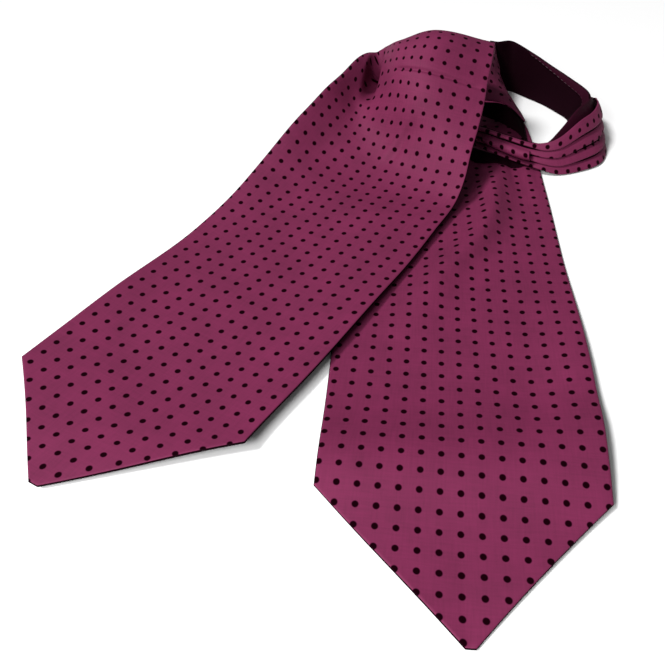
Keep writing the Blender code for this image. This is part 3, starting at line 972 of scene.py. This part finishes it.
def twill_group():
    """Fine diagonal ribs, threads of uneven thickness, and a slow change of tone over the cloth."""
    tree, given, out = group(
        "silk twill",
        (("Cloth", "NodeSocketVector", None), ("Rib mm", "NodeSocketFloat", 0.45)),
        (("Height", "NodeSocketFloat"), ("Tone", "NodeSocketFloat"), ("Threads", "NodeSocketFloat")))
    mm = vector_node(tree, "MULTIPLY", given.outputs["Cloth"], (DOT_ACROSS, DOT_ALONG, 0.0)).outputs[0]
    split = tree.nodes.new("ShaderNodeSeparateXYZ")
    tree.links.new(mm, split.inputs[0])
    slant = math_node(tree, "ADD", split.outputs["X"], split.outputs["Y"])
    ribs = math_node(tree, "DIVIDE", slant, given.outputs["Rib mm"])
    rib = math_node(tree, "SINE", math_node(tree, "MULTIPLY", ribs, 2 * math.pi))
    along, over = (vector_node(tree, "MULTIPLY", mm, s).outputs[0] for s in (WARP_SCALE, WEFT_SCALE))
    both = math_node(tree, "ADD", noise_node(tree, along, 1.0, 3.0), noise_node(tree, over, 1.0, 3.0))
    threads = math_node(tree, "MULTIPLY", both, 0.5)
    height = math_node(tree, "ADD", math_node(tree, "MULTIPLY", rib, 0.35), threads)
    tree.links.new(height, out.inputs["Height"])
    tree.links.new(noise_node(tree, mm, 0.035, 2.0), out.inputs["Tone"])
    tree.links.new(threads, out.inputs["Threads"])
    return tree


PIN_DOTS = pin_dot_group()
TWILL = twill_group()

# %% Silk materials
SILK_SHINE = (1.0, 0.85, 0.95, 1)
DOT_SHINE = (0.15, 0.02, 0.06, 1)
TONE_LEAST = 0.44
TONE_SLOW = 0.42
TONE_THREADS = 0.7
THREAD_ROUGHNESS = 0.12
DOT_ROUGHNESS = 0.35
RELIEF_STRENGTH = 0.25
RELIEF_DEPTH = 0.06 * MM


def mask_colours(tree, mask, outside, inside):
    """A colour that turns from one to the other by a mask. Either may be a socket or a constant."""
    mix = tree.nodes.new("ShaderNodeMix")
    mix.data_type = "RGBA"
    tree.links.new(mask, mix.inputs["Factor"])
    for slot, colour in (("A", outside), ("B", inside)):
        if isinstance(colour, tuple):
            mix.inputs[slot].default_value = colour
        else:
            tree.links.new(colour, mix.inputs[slot])
    return mix.outputs["Result"]


def silk(name, cloth_colour, roughness, gloss, dot_colour=None):
    """Silk twill, with pin dots when a colour is given for them."""
    made = bpy.data.materials.new(name)
    made.use_nodes = True
    tree = made.node_tree
    shader = tree.nodes["Principled BSDF"]
    shader.inputs["Specular IOR Level"].default_value = gloss
    cloth = tree.nodes.new("ShaderNodeUVMap")
    cloth.uv_map = "cloth"
    weave = tree.nodes.new("ShaderNodeGroup")
    weave.node_tree = TWILL
    tree.links.new(cloth.outputs["UV"], weave.inputs["Cloth"])
    slow = math_node(tree, "MULTIPLY", weave.outputs["Tone"], TONE_SLOW)
    threads = math_node(tree, "MULTIPLY", weave.outputs["Threads"], TONE_THREADS)
    tone = math_node(tree, "ADD", math_node(tree, "ADD", TONE_LEAST, slow), threads)
    plain = tree.nodes.new("ShaderNodeMix")
    plain.data_type = "RGBA"
    plain.blend_type = "MULTIPLY"
    plain.inputs["Factor"].default_value = 1.0
    plain.inputs["A"].default_value = cloth_colour
    tree.links.new(tone, plain.inputs["B"])
    colour = plain.outputs["Result"]
    uneven = math_node(tree, "MULTIPLY", weave.outputs["Threads"], THREAD_ROUGHNESS)
    rough = math_node(tree, "ADD", roughness, uneven)
    if dot_colour:
        spots = tree.nodes.new("ShaderNodeGroup")
        spots.node_tree = PIN_DOTS
        tree.links.new(cloth.outputs["UV"], spots.inputs["Cloth"])
        dot = spots.outputs["Dot"]
        colour = mask_colours(tree, dot, colour, dot_colour)
        shine = mask_colours(tree, dot, SILK_SHINE, DOT_SHINE)
        tree.links.new(shine, shader.inputs["Specular Tint"])
        rough = math_node(tree, "ADD", rough, math_node(tree, "MULTIPLY", dot, DOT_ROUGHNESS))
    tree.links.new(colour, shader.inputs["Base Color"])
    tree.links.new(rough, shader.inputs["Roughness"])
    relief = tree.nodes.new("ShaderNodeBump")
    relief.inputs["Strength"].default_value = RELIEF_STRENGTH
    relief.inputs["Distance"].default_value = RELIEF_DEPTH
    tree.links.new(weave.outputs["Height"], relief.inputs["Height"])
    tree.links.new(relief.outputs["Normal"], shader.inputs["Normal"])
    return made


PLUM = (0.139, 0.0122, 0.0520, 1)
DOT_BLACK = (0.0055, 0.0003, 0.0016, 1)
# Near black: the band's dark lining, deepened to stand for the shade inside the loop, and painted shade
# alone wherever else it is used.
WRONG_SIDE_AND_SHADE = (0.0063, 0.0005, 0.0024, 1)
# A darkened copy of the plum, without its dots: painted shade on cloth that is the same plum silk.
SHADED_PLUM = (0.0235, 0.0017, 0.0086, 1)
THREAD = (0.035, 0.003, 0.014, 1)
dotted_silk = silk("dotted plum silk", PLUM, 0.68, 0.28, DOT_BLACK)
lining_and_shade = silk("dark lining and painted shade", WRONG_SIDE_AND_SHADE, 0.7, 0.03)
shaded_silk = silk("silk in painted shade", SHADED_PLUM, 0.65, 0.06)

thread.use_nodes = True
thread_shader = thread.node_tree.nodes["Principled BSDF"]
thread_shader.inputs["Base Color"].default_value = THREAD
thread_shader.inputs["Roughness"].default_value = 0.5


def two_sided(piece, upper, under, shade_rim=0):
    """Gives a shell's first grid of faces one material and its second another. The last argument is how
    many faces in from the rim the second one comes over, as a dark line of painted shade along the
    edge."""
    piece.data.materials.append(upper)
    piece.data.materials.append(under)
    columns = FACES_ACROSS[piece.name]
    rows = len(piece.data.polygons) // 2 // columns
    for face in piece.data.polygons:
        row, column = divmod(face.index, columns)
        inside = shade_rim <= row < rows - shade_rim and shade_rim <= column < columns - shade_rim
        face.material_index = 0 if inside else 1


# The blades' undersides and their outermost ring of faces take the near-black material: painted shade
# along the edges, though the silk is plum on both sides.
for piece in (upper_blade, lower_blade):
    two_sided(piece, dotted_silk, lining_and_shade, 1)
# The plies' inner faces take the dark lining, darkened further as painted shade.
for piece in front_plies:
    two_sided(piece, dotted_silk, lining_and_shade)
for piece in (rolled_pleat, gathered_end):
    piece.data.materials.append(dotted_silk)
# The far stretch's inner face is the dark lining, deepened as painted shade.
two_sided(back_band, lining_and_shade, dotted_silk)
# The hood's inner face takes the near-black material as painted shade in its mouth.
two_sided(band_turn, dotted_silk, lining_and_shade)
# The turned edge and the inner ply take the darkened copy of the silk as painted shade.
for piece in (back_edge, inner_ply):
    piece.data.materials.append(shaded_silk)
# These three sheets are painted shade: in the open pleats, inside the hood's mouth and on the blade
# under the near stretch.
for piece in (pleat_shade, hood_shade, band_shadow):
    piece.data.materials.append(lining_and_shade)

# %% [markdown]
# ## Which piece stands for which solid
# Each piece is hung from the root body, and the solid it stands for is hidden.

# %% Frame calls
def silk_sheet(piece, stands_for=None):
    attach(piece, "root")
    if stands_for:
        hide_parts(stands_for)


silk_sheet(lower_blade, stands_for="blade_right")
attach(seam_stitches, "root")
silk_sheet(upper_blade,
           stands_for="blade_left")
for piece in front_plies:
    silk_sheet(piece, stands_for="neckband_front")
silk_sheet(pleat_shade)
silk_sheet(band_shadow)
silk_sheet(inner_ply)
silk_sheet(hood_shade)
silk_sheet(rolled_pleat, stands_for="neckband_roll")
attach(edge_stitches, "root")
silk_sheet(back_band, stands_for="neckband_back")
silk_sheet(back_edge)
silk_sheet(band_turn, stands_for="neckband_turn")
silk_sheet(gathered_end, stands_for="neckband_gather")

# %% [markdown]
# ## Table and light
# A plain pale table under soft white light. A broad key comes from the upper left, so the folds
# fall off into shade on their right, and a small lamp beside the camera fills the nearer cloth.

# %% Table and lights
TABLE_REACH = 6
TABLE_TOP = -0.0005
TABLE_WHITE = (0.95, 0.95, 0.95, 1)
TABLE_SIDES = ((-1, -1), (1, -1), (1, 1), (-1, 1))
floor_mesh = bpy.data.meshes.new("table")
corners = [(x * TABLE_REACH, y * TABLE_REACH, TABLE_TOP) for x, y in TABLE_SIDES]
floor_mesh.from_pydata(corners, [], [(0, 1, 2, 3)])
floor = bpy.data.objects.new("table", floor_mesh)
bpy.context.scene.collection.objects.link(floor)
pale = bpy.data.materials.new("pale table")
pale.use_nodes = True
pale_shader = pale.node_tree.nodes["Principled BSDF"]
pale_shader.inputs["Base Color"].default_value = TABLE_WHITE
pale_shader.inputs["Roughness"].default_value = 0.9
floor_mesh.materials.append(pale)


def studio_light(name, kind, size, power, place, aim):
    """An area light of a size in metres, or a far one whose size is an angle in degrees."""
    light = bpy.data.lights.new(name, kind)
    if kind == "SUN":
        light.angle = math.radians(size)
    else:
        light.size = size
    light.energy = power
    made = bpy.data.objects.new(name, light)
    made.location = place
    direction = np.array(aim, float) - np.array(place, float)
    flat = math.hypot(direction[0], direction[1])
    made.rotation_euler = (math.atan2(flat, -direction[2]), 0, math.atan2(-direction[0], direction[1]))
    bpy.context.scene.collection.objects.link(made)


studio_light("key", "SUN", 12, 3.0, (-0.66, -0.28, 0.95), (0, 0, 0))
studio_light("near key", "AREA", 0.3, 6.5, (-0.40, -0.68, 0.60), (0.02, -0.1, 0))

world = bpy.data.worlds.new("studio")
world.use_nodes = True
fill = world.node_tree.nodes["Background"]
fill.inputs["Color"].default_value = (1, 1, 1, 1)
fill.inputs["Strength"].default_value = 0.18
bpy.context.scene.world = world
bpy.context.scene.view_settings.view_transform = "Standard"
